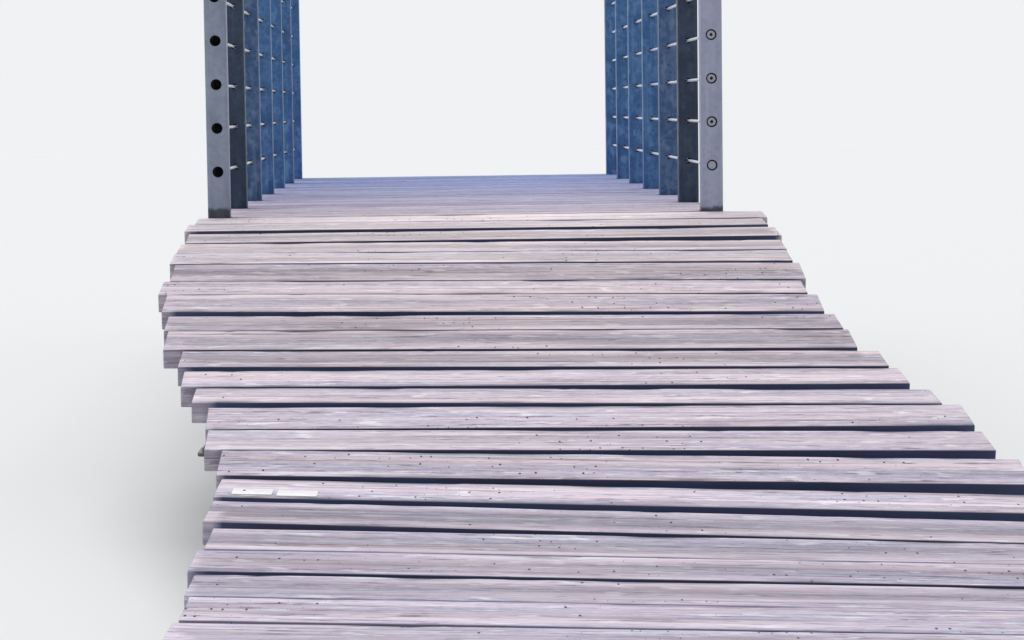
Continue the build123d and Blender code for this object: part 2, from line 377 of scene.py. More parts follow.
def boardMaterial(name, look):
    # u runs along a board and v across it, both in metres
    colours = {tint: (*colour, 1) for tint, colour in boardColours.items()}
    material, tree, shader = startMaterial(name)
    uv = addNode(tree, "ShaderNodeUVMap", uv_map="grain").outputs[0]
    grain = {layer: noiseAt(tree, stretched(tree, uv, (along, across, 1)), detail=detail, roughness=roughness)
             for layer, (along, across, detail, roughness) in grainLayers.items()}
    colour = mixColours(tree, ramp(tree, grain["broad"], 0.36, 0.62), colours["blueGrey"], colours["pink"])
    for layer, low, high, least, most, tint in grainTints:
        share = ramp(tree, grain[layer], low, high, least, most)
        colour = mixColours(tree, share, colour, colours[tint])
    # long thin drying cracks, broken up by the patches
    crack = mathNode(tree, "COMPARE", grain["waves"], 0.5, 0.011)
    broken = mathNode(tree, "MULTIPLY", crack, ramp(tree, grain["patches"], 0.42, 0.52, 0.1, 0.8))
    colour = mixColours(tree, broken, colour, colours["streak"])
    ragged = mathNode(tree, "MULTIPLY_ADD", grain["middle"], 0.35, grain["patches"])
    colour = mixColours(tree, ramp(tree, ragged, 0.76, 0.86, 0, 0.65), colour, colours["bleached"])
    # painted bluish shade, as much as the board's share says
    colour = mixColours(tree, attribute(tree, "skyShade"), colour, (*look["skyShadeTint"], 1), "MULTIPLY")
    cloudy = mathNode(tree, "ADD", attribute(tree, "tone"),
                      ramp(tree, grain["mottle"], 0.3, 0.7, -0.09, 0.09))
    colour = addNode(tree, "ShaderNodeBrightContrast", {"Color": colour, "Bright": cloudy}).outputs[0]
    colour = mixColours(tree, specksIn(tree, uv, grain["crowd"]), colour, colours["speck"])
    # painted bluish shade along the long edges of the top, broken up by the grain
    edgeSkyShade = mathNode(tree, "MULTIPLY", attribute(tree, "edge"),
                        ramp(tree, grain["middle"], 0.3, 0.6, 0.6, 0.15))
    colour = mixColours(tree, edgeSkyShade, colour, colours["blueGrey"])
    # painted shade on the sides in the joints, and the rings on the sawn ends
    inJointShade = mixColours(tree, attribute(tree, "jointShadeDepth"), colours["joint"], colours["deepJointShade"])
    inJointShade = mixColours(tree, ramp(tree, grain["mottle"], 0.58, 0.74), inJointShade, colours["joint"])
    colour = mixColours(tree, attribute(tree, "jointShade"), colour, inJointShade)
    rings = addNode(tree, "ShaderNodeTexWave", {"Vector": uv, "Scale": 70, "Distortion": 6, "Detail": 2},
                    wave_type="RINGS").outputs["Fac"]
    onEnd = mixColours(tree, ramp(tree, rings, 0.3, 0.7, 0, 0.6), colours["endWood"], colours["blueGrey"])
    colour = mixColours(tree, attribute(tree, "endGrain"), colour, onEnd)
    setSockets(tree, shader, {
        "Base Color": colour,
        "Roughness": ramp(tree, grain["middle"], 0.3, 0.7, 0.82, 0.60),
        "Specular IOR Level": look["gloss"],
        "Normal": bumped(tree, mathNode(tree, "ADD", grain["fine"], grain["middle"]), 0.5, 0.0008),
    })
    return material


rampBoardLook = {
    "skyShadeTint": (0.955, 1.01, 1.14),
    # the ramp's boards take a painted bluish shade towards the foot
    "shadeWithin": 3.2,  # metres before the deck in which the boards turn cool
    "gloss": 0.28,
    "arris": 0.0026,
    "endArris": 0.002,
    "cutsAlong": 88,
    "cutsAcross": 9,
    "wander": 0.0013,  # how far the worn edges wander inwards
    "hollow": 0.0010,  # how far the middle or the edges are worn down
    "nicks": 4,
    "nickDepth": 0.0012,
    "sag": 0.0022,  # how far the edges of the top are worn down in places
    "toneSpread": 0.022,
    # ramp_boards_top is painted lighter, which is painted sunlight on the boards at the top of the ramp
    "tones": {"ramp_boards_top": 0.14, "ramp_boards_upper": -0.01, "ramp_boards_lower": -0.01,
              "ramp_boards_foot": 0.0, "approach_boards": 0.02},
}
# the level boards take a painted bluish shade that deepens further along the walk
levelBoardLook = {
    "skyShadeTint": (0.43, 0.62, 1.04),
    "shadeFrom": 0.03,  # how cool the first level board is
    "shadeCurve": 0.62,
    "gloss": 0.0,
    "arris": 0.0024,
    "endArris": 0.0015,
    "cutsAlong": 26,
    "cutsAcross": 5,
    "wander": 0.0006,
    "hollow": 0.0006,
    "nicks": 1,
    "nickDepth": 0.002,
    "sag": 0.0008,
    "toneSpread": 0.035,
    "tones": {},
}

# the wear that both kinds share; what starts at an edge is given as a share of half a board's width
wearLook = {
    "edgeFrom": 0.7,
    "sideFrom": 0.9,
    "cupped": 0.6,  # how many boards are worn in the middle and not at the edges
    "nickReach": (0.012, 0.045),
    "nickDrop": 0.6,
    "fibres": 0.0005,
    "wanderWaves": 4,  # to a metre
    "fibreWaves": (2, 25),
    "sagWaves": 7,
}

# painted shade on the sides in the joints
jointShadeLook = {
    "openSide": 0.22,  # how dark a side is where no other board stands against it
    "openWithin": 0.012,
    "nearlyClosed": {6: 0.55, 7: 0.3, 9: 0.3},  # how dark, by the board beyond it, counted from the foot
    "closedFrom": (0.84, 0.12),  # each of these is where it starts and how far it takes
    # edgeFrom places the painted bluish shade along a board's long edges
    "edgeFrom": (0.72, 0.25),
    "sideFrom": (0.0004, 0.0014),
    "deepFrom": (0.0010, 0.0030),
}
blanks = {}


def halvesApart(corners, direction):
    # from the middle of the lower half of the corners to the middle of the upper half
    ordered = sorted(corners, key=lambda corner: corner.dot(direction))
    half = len(ordered) // 2
    return (sum(ordered[half:], Vector()) - sum(ordered[:half], Vector())) / half


def boxedFrame(corners):
    # the place, turn and size of a box from its eight corners, with x along it and z up
    middle = sum(corners, Vector()) / len(corners)
    along = halvesApart(corners, Vector((1, 0, 0)))
    across = halvesApart(corners, Vector((0, 0, 1)).cross(along.normalized()))
    up = halvesApart(corners, along.cross(across).normalized())
    turned = Matrix((along.normalized(), across.normalized(), up.normalized())).transposed().to_4x4()
    return Matrix.Translation(middle) @ turned, (along.length, across.length, up.length)


def levelFrame(corners):
    # the same for a level board, which may have notches
    low = Vector(min(corner[axis] for corner in corners) for axis in range(3))
    high = Vector(max(corner[axis] for corner in corners) for axis in range(3))
    return Matrix.Translation((low + high) / 2), tuple(high - low)


def boardBlank(shape, place, size, look):
    # the board moved to the origin, its arrises rounded and cut into short lengths for the wear
    key = (len(shape.verts), *(round(part, 3) for part in size))
    if key in blanks:
        return blanks[key]
    length, width = size[:2]
    bmesh.ops.transform(shape, matrix=place.inverted(), verts=shape.verts)
    bmesh.ops.dissolve_limit(shape, angle_limit=radians(1), verts=shape.verts, edges=shape.edges)
    longEdges = [edge for edge in shape.edges
                 if abs(edge.verts[0].co.x - edge.verts[1].co.x) > look["arris"] * 4]
    bevelEdges(shape, longEdges, look["arris"], 3)
    shape.normal_update()
    ends = [edge for edge in shape.edges if edge.is_manifold and edge.calc_face_angle(0) > radians(75)
            and any(abs(face.normal.x) > 0.9 for face in edge.link_faces)]
    bevelEdges(shape, ends, look["endArris"], 2)
    for axis, extent, cuts in ((0, length, look["cutsAlong"]),
                               (1, width - 2 * look["arris"], look["cutsAcross"])):
        direction = Vector()
        direction[axis] = 1
        for cut in range(1, cuts):
            cutAcross(shape, direction * extent * (cut / cuts - 0.5), direction)
    mesh = bpy.data.meshes.new("blank")
    shape.to_mesh(mesh)
    blanks[key] = mesh
    return mesh


def wearBoard(shape, size, look, dice):
    # moves the board's skin inwards: edges that wander, a worn middle or worn sides, and nicks
    length, width = (part / 2 for part in size[:2])
    seed = dice.uniform(0, 900)
    hollow = look["hollow"] * dice.uniform(0.3, 1)
    cupped = dice.random() < wearLook["cupped"]
    nicks = [(dice.uniform(-length, length), dice.choice((-1, 1)), dice.uniform(*wearLook["nickReach"]),
              dice.uniform(0.3, 1)) for nick in range(look["nicks"])]
    along, across = wearLook["fibreWaves"]
    for vert in shape.verts:
        x, y, z = vert.co
        side = 1 if y > 0 else -1
        share = abs(y) / width
        onSide = share > wearLook["sideFrom"]
        edge = rising(share, wearLook["edgeFrom"], 1 - wearLook["edgeFrom"])
        if onSide:
            wave = noise.noise(Vector((x * wearLook["wanderWaves"], side * 11 + seed, 0.5)))
            vert.co.y -= side * look["wander"] * (0.5 + 0.5 * wave) * edge
        if z > 0:
            worn = 1 - share * share if cupped else share * share
            wave = noise.noise(Vector((x * along, y * across, seed)))
            drop = hollow * worn + wearLook["fibres"] * (0.5 + 0.5 * wave)
            wave = noise.noise(Vector((x * wearLook["sagWaves"], side * 5 + seed, 9.5)))
            drop += look["sag"] * edge * max(0.0, wave)
            for place, nickSide, reach, depth in nicks:
                if side == nickSide and onSide and abs(x - place) < reach:
                    notch = look["nickDepth"] * depth * (1 - ((x - place) / reach) ** 2)
                    drop += notch * edge * wearLook["nickDrop"]
                    vert.co.y -= side * notch * edge
            vert.co.z -= drop


def placedBoards():
    # every board with its node, place and size, from the foot of the ramp to the far end
    found = []
    for nodeName in rampNodes + levelNodes:
        for solid in solidsOf(nodeName):
            corners = [vert.co.copy() for vert in solid.verts]
            place, size = levelFrame(corners) if nodeName in levelNodes else boxedFrame(corners)
            found.append({"node": nodeName, "solid": solid, "place": place, "size": size})
    return sorted(found, key=lambda board: board["place"].translation.y)


def sheltered(point, neighbour):
    # painted shade: 1 where the next board stands against a board's side, less past that board's end
    if neighbour is None:
        return jointShadeLook["openSide"]
    past = abs((neighbour["place"].inverted() @ point).x) - neighbour["size"][0] / 2
    return clamped(0.5 - past / jointShadeLook["openWithin"], jointShadeLook["openSide"])


def jointShadeAt(board, index, point):
    # how much painted shade the board's skin takes at a point where it stands in a joint
    near = point.y < 0
    beyond = index if near else index + 1
    neighbour = index - 1 if near else index + 1
    nextBoard = allBoards[neighbour] if 0 <= neighbour < len(allBoards) else None
    byTheJoint = rising(abs(point.y) / (board["size"][1] / 2), *jointShadeLook["closedFrom"])
    closed = jointShadeLook["nearlyClosed"].get(beyond, 1)
    return sheltered(board["place"] @ point, nextBoard) * (1 + (closed - 1) * byTheJoint)


def markBoard(shape, board, tone, skyShade, index, dice):
    # the board's own grain map and the values that its material reads, its painted shade among them
    grain = shape.loops.layers.uv.new("grain")
    layers = {name: shape.loops.layers.float.new(name)
              for name in ("tone", "skyShade", "edge", "jointShade", "jointShadeDepth", "endGrain")}
    shiftU = dice.uniform(0, 60)
    shiftV = dice.uniform(0, 60)
    halfWidth = board["size"][1] / 2
    halfThickness = board["size"][2] / 2
    shade = {vert: jointShadeAt(board, index, vert.co) for vert in shape.verts}
    for face in shape.faces:
        facing = max(range(3), key=lambda axis: abs(face.normal[axis]))
        atEnd = facing == 0
        for loop in face.loops:
            x, y, z = loop.vert.co
            depth = halfThickness - z
            u = z if atEnd else x
            v = y if facing != 1 else y + (depth if y > 0 else -depth)
            loop[grain].uv = (u + shiftU, v + shiftV)
            below = rising(depth, *jointShadeLook["sideFrom"])
            values = {"tone": tone, "skyShade": skyShade,
                      "edge": rising(abs(y) / halfWidth, *jointShadeLook["edgeFrom"]),
                      "jointShade": 0.0 if atEnd else below * shade[loop.vert],
                      "jointShadeDepth": rising(depth, *jointShadeLook["deepFrom"]),
                      "endGrain": 1.0 if atEnd else 0.0}
            for name, value in values.items():
                loop[layers[name]] = value


def dressBoards(nodeName, look, material, skyShadeAt):
    whole = bmesh.new()
    for index, board in enumerate(allBoards):
        if board["node"] != nodeName:
            continue
        shape = bmesh.new()
        shape.from_mesh(boardBlank(board["solid"], board["place"], board["size"], look))
        board["solid"].free()
        wearBoard(shape, board["size"], look, boardDice)
        shape.normal_update()
        tone = look["tones"].get(nodeName, 0) + boardDice.uniform(-1, 1) * look["toneSpread"]
        markBoard(shape, board, tone, skyShadeAt(board["place"].translation.y), index, boardDice)
        addTo(whole, shape, board["place"])
    finishPiece(whole, nodeName + "_weathered", [material], [nodeName], sharpAbove=50)


rampNodes = ["approach_boards"] + ["ramp_boards_" + part for part in ("foot", "lower", "upper", "top")]
levelNodes = [f"deck_boards_{bay}" for bay in range(1, 7)] + ["end_board"]
rampWood = boardMaterial("weatheredRampBoard", rampBoardLook)
levelWood = boardMaterial("weatheredLevelBoard", levelBoardLook)
allBoards = placedBoards()
boardDice = random.Random(11)
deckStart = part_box("deck_boards_1")[0].y
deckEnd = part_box("end_board")[1].y


def rampSkyShade(y):
    # painted shade: the ramp's boards turn a little cooler towards its foot
    return rising(deckStart - y, 0, rampBoardLook["shadeWithin"])


def levelSkyShade(y):
    # painted shade: the level boards are greyer and bluer further along the walk
    share = rising(y, deckStart, deckEnd - deckStart) ** levelBoardLook["shadeCurve"]
    return levelBoardLook["shadeFrom"] + (1 - levelBoardLook["shadeFrom"]) * share


for nodeName in rampNodes:
    dressBoards(nodeName, rampBoardLook, rampWood, rampSkyShade)
print("ramp boards laid")
for nodeName in levelNodes:
    dressBoards(nodeName, levelBoardLook, levelWood, levelSkyShade)
print("level boards laid")

# galvanised posts, with painted light and shade: the first are painted pale as lit, the second dark as in
# shade, and the rest bluer the further they stand, as painted sky-lit shade; the dark band at the foot rises
# this far above the deck
zincLooks = {
    "leftFirst": {"plain": (0.235, 0.275, 0.365), "pale": (0.34, 0.38, 0.48), "dark": (0.16, 0.19, 0.26),
                  "footDark": (0.035, 0.04, 0.055), "footDarkRise": 0.034, "blotches": 0.25},
    "rightFirst": {"plain": (0.32, 0.35, 0.48), "pale": (0.43, 0.46, 0.60), "dark": (0.22, 0.25, 0.35),
                   "footDark": (0.045, 0.05, 0.08), "footDarkRise": 0.020, "blotches": 0.25},
    "second": {"plain": (0.020, 0.040, 0.080), "pale": (0.055, 0.080, 0.125), "dark": (0.008, 0.016, 0.038),
               "footDark": (0.02, 0.025, 0.035), "footDarkRise": 0.004, "blotches": 0.5},
    "third": {"plain": (0.036, 0.095, 0.225), "pale": (0.14, 0.21, 0.34), "dark": (0.018, 0.055, 0.15),
              "footDark": (0.03, 0.04, 0.06), "footDarkRise": 0.004, "blotches": 0.8},
    "other": {"plain": (0.040, 0.120, 0.290), "pale": (0.11, 0.24, 0.46), "dark": (0.020, 0.080, 0.22),
              "footDark": (0.03, 0.05, 0.09), "footDarkRise": 0.004, "blotches": 0.8},
    "rail": {"plain": (0.20, 0.225, 0.27), "pale": (0.29, 0.31, 0.355), "dark": (0.12, 0.145, 0.185),
             "footDark": (0.07, 0.075, 0.08), "footDarkRise": 0.004, "blotches": 0.25},
}
# the inside of the tubes is painted near black, which is painted shade
tubeInsideShadeLook = {"plain": (0.010, 0.011, 0.013), "pale": (0.015, 0.016, 0.018), "dark": (0.006, 0.007, 0.008),
              "footDark": (0.005, 0.005, 0.006), "footDarkRise": 0, "blotches": 0.25}


def zincMaterial(name, look, level):
    # zinc crystals in patches, runs down the post, and a dark band at the foot where it stands on a level
    plain, pale, dark, footDark = ((*look[part], 1) for part in ("plain", "pale", "dark", "footDark"))
    footDarkHeight = level + look["footDarkRise"]
    material, tree, shader = startMaterial(name)
    place = objectPlace(tree)
    spangle = addNode(tree, "ShaderNodeTexVoronoi", {"Vector": place, "Scale": 85})
    spangleTone = addNode(tree, "ShaderNodeSeparateColor", {0: spangle.outputs["Color"]}).outputs[0]
    clouds = noiseAt(tree, place, scale=9, detail=4)
    patches = noiseAt(tree, stretched(tree, place, (34, 34, 20)), detail=5, roughness=0.6)
    runs = noiseAt(tree, stretched(tree, place, (60, 60, 3)), detail=3)
    colour = mixColours(tree, ramp(tree, spangleTone, 0.1, 0.9, 0, 0.45), plain, pale)
    colour = mixColours(tree, ramp(tree, clouds, 0.4, 0.7, 0, 0.6), colour, dark)
    colour = mixColours(tree, ramp(tree, patches, 0.50, 0.66, 0, look["blotches"]), colour, pale)
    colour = mixColours(tree, ramp(tree, runs, 0.55, 0.75, 0, 0.5), colour, pale)
    # the dark band stands just above the deck, with splashed dirt near the ground
    high = addNode(tree, "ShaderNodeSeparateXYZ", {0: place}).outputs[2]
    drips = noiseAt(tree, stretched(tree, place, (38, 38, 16)), detail=6, roughness=0.75)
    ragged = mathNode(tree, "MULTIPLY_ADD", drips, 0.03, high)
    above = ramp(tree, high, footDarkHeight - 0.09, footDarkHeight - 0.05)
    foot = ramp(tree, ragged, footDarkHeight + 0.010, footDarkHeight, 0, 0.9)
    colour = mixColours(tree, mathNode(tree, "MULTIPLY", foot, above), colour, footDark)
    colour = mixColours(tree, ramp(tree, ragged, 0.16, 0.02, 0, 0.6), colour, footDark)
    setSockets(tree, shader, {
        "Base Color": colour,
        "Metallic": 0.35,
        "Roughness": ramp(tree, spangleTone, 0, 1, 0.42, 0.58),
        "Normal": bumped(tree, clouds, 0.25, 0.001),
    })
    return material


postLook = {
    "wall": 0.004,
    "corner": 0.006,
    "accessHole": 0.030,
    "passHole": 0.016,
    "snugHole": 0.009,
    "holeSides": 32,
    "rim": 0.0006,
    "weld": 0.005,
    "weldCorner": 0.011,
}
postCount = 7
rodCount = 7
rodRadius = 0.004
rodLow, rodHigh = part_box("left_rods")
rodHeights = [rodLow.z + rodRadius + (rodHigh.z - rodLow.z - 2 * rodRadius) * step / (rodCount - 1)
              for step in range(rodCount)]
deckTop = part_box("deck_boards_1")[1].z
alongWalk = Matrix.Rotation(radians(90), 4, "X")  # lays what stands upright along the walk


def evaluatedMesh(piece):
    depsgraph = bpy.context.evaluated_depsgraph_get()
    mesh = bpy.data.meshes.new_from_object(piece.evaluated_get(depsgraph))
    bpy.data.objects.remove(piece)
    return mesh


def holeCutters(frontHole, backHole, low, high):
    shape = bmesh.new()
    middle = (low.x + high.x) / 2
    for diameter, y in ((frontHole, low.y), (backHole, high.y)):
        for height in rodHeights:
            place = Matrix.Translation((middle, y, height)) @ alongWalk
            # long enough to pass through the wall
            addRound(shape, diameter / 2, postLook["wall"] * 5, postLook["holeSides"], place)
    return addObject("cutters", meshFrom(shape, "cutters"))


def squareTube(low, high):
    shape = boxShape(high - low, (low + high) / 2)
    bevelEdges(shape, uprightEdges(shape), postLook["corner"], 5)
    capped = [face for face in shape.faces if abs(face.normal.z) > 0.9]
    bmesh.ops.delete(shape, geom=capped, context="FACES_ONLY")
    tube = addObject("tube", meshFrom(shape, "tube"))
    for side in ("outside", "inside"):
        tube.data.materials.append(postZinc["rail"])
    wall = tube.modifiers.new("wall", "SOLIDIFY")
    wall.material_offset = 1
    wall.thickness = postLook["wall"]
    wall.offset = -1
    wall.use_even_offset = True
    return tube


def makePostMesh(frontHole, backHole, low, high):
    tube = squareTube(low, high)
    cutters = holeCutters(postLook[frontHole], postLook[backHole], low, high)
    holes = tube.modifiers.new("holes", "BOOLEAN")
    holes.operation = "DIFFERENCE"
    holes.solver = "EXACT"
    holes.object = cutters
    rims = tube.modifiers.new("rims", "BEVEL")
    rims.width = postLook["rim"]
    rims.segments = 2
    rims.limit_method = "ANGLE"
    rims.angle_limit = radians(50)
    mesh = evaluatedMesh(tube)
    bpy.data.objects.remove(cutters)
    return mesh


def weldRing(outline, height, direction):
    # a fillet weld round a square tube: wide where it lies on the plate, narrow where it climbs the tube
    full = outline + 2 * postLook["weld"]
    shape = boxShape((full, full, postLook["weld"]))
    bevelEdges(shape, uprightEdges(shape), postLook["weldCorner"], 4)
    narrow = [vert for vert in shape.verts if vert.co.z * direction > 0]
    share = outline / full
    bmesh.ops.scale(shape, vec=(share, share, 1), verts=narrow)
    bmesh.ops.translate(shape, vec=(0, 0, height), verts=shape.verts)
    return shape


def standPost(side, number):
    nodeName = f"{side}_post_{number}"
    low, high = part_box(nodeName)
    centre = (low + high) / 2
    postCentres[nodeName] = centre
    whole = bmesh.new()
    whole.from_mesh(postMeshes["first" if number == 1 else "last" if number == postCount else "middle"])
    bmesh.ops.translate(whole, vec=low - firstLow, verts=whole.verts)
    for end, direction in ((low.z, 1), (high.z, -1)):
        weld = weldRing(high.x - low.x, end + direction * postLook["weld"] / 2, direction)
        addTo(whole, weld, Matrix.Translation((centre.x, centre.y, 0)))
    zinc = postZinc[{1: side + "First", 2: "second", 3: "third"}.get(number, "other")]
    finishPiece(whole, nodeName + "_tube", [zinc, tubeInsideShade], [nodeName], sharpAbove=35)


postZinc = {kind: zincMaterial(kind + "PostZinc", look, deckTop) for kind, look in zincLooks.items()}
tubeInsideShade = zincMaterial("tubeInsidePaintedShade", tubeInsideShadeLook, 0)
firstLow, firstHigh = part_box("left_post_1")
postMeshes = {
    "first": makePostMesh("accessHole", "snugHole", firstLow, firstHigh),
    "middle": makePostMesh("passHole", "snugHole", firstLow, firstHigh),
    "last": makePostMesh("snugHole", "accessHole", firstLow, firstHigh),
}
postCentres = {}
for side in ("left", "right"):
    for number in range(1, postCount + 1):
        standPost(side, number)
print("posts stood up")

# rods, with the nuts and washers at their ends
rodLook = {
    "colour": (0.93, 0.94, 0.97),
    "sides": 20,
    "thread": 0.022,
    "endGap": 0.0002,
    "washerDiameter": 0.022,
    "washerThickness": 0.0016,
    "hexWidth": 0.013,
    "hexHeight": 0.0064,
}
fastenerLook = {
    # the nuts and washers are painted near black, which is painted shade inside the end posts
    "colour": (0.035, 0.036, 0.04),
    "hexEdge": 0.0008,
    "washerEdge": 0.0003,
    "washerSides": 28,
}


def brightSteel(name, colour, metallic, roughness):
    bright = (*colour, 1)
    dull = (*(part * 0.62 for part in colour), 1)
    material, tree, shader = startMaterial(name)
    place = objectPlace(tree)
    drawn = noiseAt(tree, stretched(tree, place, (900, 6, 900)), detail=2)
    clouds = noiseAt(tree, place, scale=14, detail=3)
    tint = mixColours(tree, ramp(tree, drawn, 0.3, 0.7, 0, 0.5), bright, dull)
    tint = mixColours(tree, ramp(tree, clouds, 0.5, 0.75, 0, 0.5), tint, dull)
    setSockets(tree, shader, {
        "Base Color": tint,
        "Metallic": metallic,
        "Roughness": ramp(tree, clouds, 0.3, 0.7, roughness, roughness + 0.14),
    })
    return material


def makeRods(side):
    nodeName = side + "_rods"
    low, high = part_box(nodeName)
    whole = bmesh.new()
    middle = (low + high) / 2
    for height in rodHeights:
        place = Matrix.Translation((middle.x, middle.y, height)) @ alongWalk
        addRound(whole, rodRadius, high.y - low.y, rodLook["sides"], place)
    # the threaded ends inside the end posts are painted dark, which is painted shade
    for cut in (low.y + rodLook["thread"], high.y - rodLook["thread"]):
        cutAcross(whole, (0, cut, 0), (0, 1, 0))
    for face in whole.faces:
        if abs(face.calc_center_median().y - middle.y) > (high.y - low.y) / 2 - rodLook["thread"]:
            face.material_index = 1
    finishPiece(whole, nodeName + "_round", [brightRod, darkSteelAndShade], [nodeName])
    return middle.x


def hexagon(width, height):
    # a nut or a bolt head
    shape = bmesh.new()
    addRound(shape, width / 2 / cos(radians(30)), height, 6)
    bevelEdges(shape, levelEdges(shape), fastenerLook["hexEdge"], 2)
    return shape


def washer(diameter, thickness):
    shape = bmesh.new()
    addRound(shape, diameter / 2, thickness, fastenerLook["washerSides"])
    bevelEdges(shape, levelEdges(shape), fastenerLook["washerEdge"], 1)
    return shape


def addFastener(whole, look, spot, direction, turn=Matrix.Identity(4)):
    # a washer on a face and a hexagon on the washer
    thickness, height = look["washerThickness"], look["hexHeight"]
    for part, middle in ((washer(look["washerDiameter"], thickness), thickness / 2),
                         (hexagon(look["hexWidth"], height), thickness + height / 2)):
        addTo(whole, part, Matrix.Translation(spot + direction * middle) @ turn)


def fitNuts():
    # each washer lies on the inner wall of an end post, and the nut stands at the rod's free end
    nutLow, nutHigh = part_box("rod_nuts")
    stack = rodLook["endGap"] + rodLook["hexHeight"] + rodLook["washerThickness"]
    whole = bmesh.new()
    for column in rodColumns:
        for height in rodHeights:
            for outer, inward in ((nutLow.y, 1), (nutHigh.y, -1)):
                spot = Vector((column, outer + inward * stack, height))
                turn = Matrix.Rotation(radians(-90 * inward), 4, "X")
                addFastener(whole, rodLook, spot, Vector((0, -inward, 0)), turn)
    finishPiece(whole, "rod_nuts_and_washers", [darkSteelAndShade], ["rod_nuts"], sharpAbove=30)


brightRod = brightSteel("drawnRod", rodLook["colour"], 0.45, 0.30)
# a near-black steel: painted shade on the nuts, the threaded rod ends and the plug sockets, and the screw's
# own dark colour on a white plate
darkSteelAndShade = brightSteel("darkSteelAndShade", fastenerLook["colour"], 0.2, 0.7)
rodColumns = [makeRods(side) for side in ("left", "right")]
fitNuts()

# the access holes of the right row still have their plugs, those of the left row are open
plugLook = {
    "colour": (0.42, 0.45, 0.52),
    "diameter": 0.0234,
    "depth": 0.006,
    "sink": 0.0040,
    "sides": 36,
    "edge": 0.0012,
    "socket": 0.0045,
    "socketWall": 0.0006,
    "socketRim": 0.0004,
    "socketLip": 0.0002,
    "socketDepth": 0.003,
}


def plug(plain):
    # a steel plug, plain or with a socket in its face, which looks along +Z
    look = plugLook
    shape = bmesh.new()
    radius = look["diameter"] / 2
    addRound(shape, radius, look["depth"], look["sides"], Matrix.Translation((0, 0, -look["depth"] / 2)))
    front = [face for face in shape.faces if face.normal.z > 0.9]
    bevelEdges(shape, rimOf(shape, front), look["edge"], 3)
    if plain:
        return shape
    shape.normal_update()
    front = [face for face in shape.faces if face.normal.z > 0.99 and len(face.verts) > 8]
    bmesh.ops.inset_individual(shape, faces=front,
                               thickness=radius - look["edge"] - look["socket"] - look["socketWall"])
    bmesh.ops.inset_individual(shape, faces=front, thickness=look["socketWall"], depth=-look["socketRim"])
    inner = bmesh.ops.inset_individual(shape, faces=front, thickness=look["socketLip"],
                                       depth=-look["socketDepth"])["faces"]
    # the socket is painted near black, which is painted shade in its recess
    for face in inner + front:
        face.material_index = 1
    return shape


def fitPlugs():
    # the lowest plugs are plain
    whole = bmesh.new()
    for step, height in enumerate(rodHeights):
        for nodeName, outward in (("right_post_1", -1), ("right_post_7", 1)):
            low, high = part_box(nodeName)
            face = low.y + plugLook["sink"] if outward < 0 else high.y - plugLook["sink"]
            place = Matrix.Translation(((low.x + high.x) / 2, face, height))
            addTo(whole, plug(step == 0), place @ Matrix.Rotation(radians(-90 * outward), 4, "X"))
    finishPiece(whole, "access_hole_plugs", [plugSteel, darkSteelAndShade], sharpAbove=35)


plugSteel = brightSteel("plugSteel", plugLook["colour"], 0.3, 0.45)
fitPlugs()
print("rods, nuts and plugs fitted")

# the two white plates on a board near the foot, by its left end
plateMarks = {
    "size": (0.075, 0.041, 0.003),
    "proud": 0.0012,
    "corner": 0.003,
    "edge": 0.0004,
    "colour": (0.90, 0.88, 0.88),
    "roughness": 0.4,
    "board": 11,  # counted from the foot
    "spots": ((-0.7085, -0.0295, 0.4), (-0.6245, -0.0360, -0.5)),  # along, across, degrees of turn
    "screws": ((-0.7245, -0.0235), ),
    "screwDiameter": 0.0056,
    "screwHeight": 0.0016,
}


def plateMaterial():
    material, tree, shader = startMaterial("whitePlate")
    white = (*plateMarks["colour"], 1)
    grey = (*(part * 0.7 for part in plateMarks["colour"]), 1)
    smudges = noiseAt(tree, objectPlace(tree), scale=60, detail=4)
    colour = mixColours(tree, ramp(tree, smudges, 0.55, 0.75, 0, 0.6), white, grey)
    setSockets(tree, shader, {"Base Color": colour, "Roughness": plateMarks["roughness"]})
    return material


def layPlates():
    board = allBoards[plateMarks["board"]]
    top = board["size"][2] / 2 + plateMarks["proud"]
    whole = bmesh.new()
    for x, y, turn in plateMarks["spots"]:
        shape = boxShape(plateMarks["size"])
        bevelEdges(shape, uprightEdges(shape), plateMarks["corner"], 4)
        shape.normal_update()
        upper = [face for face in shape.faces if face.normal.z > 0.9]
        bevelEdges(shape, rimOf(shape, upper), plateMarks["edge"], 2)
        place = Matrix.Translation((x, y, top - plateMarks["size"][2] / 2))
        addTo(whole, shape, board["place"] @ place @ Matrix.Rotation(radians(turn), 4, "Z"))
    for x, y in plateMarks["screws"]:
        shape = washer(plateMarks["screwDiameter"], plateMarks["screwHeight"])
        for face in shape.faces:
            face.material_index = 1
        addTo(whole, shape, board["place"] @ Matrix.Translation((x, y, top)))
    finishPiece(whole, "white_plates", [plateMaterial(), darkSteelAndShade], sharpAbove=35)


layPlates()
print("plates laid")

# top rails, each end closed by a cap with a fine seam behind it
railLook = {"corner": 0.006, "endEdge": 0.0015, "capLength": 0.005, "seam": 0.002, "seamLip": 0.0004,
            "seamDepth": 0.0006}


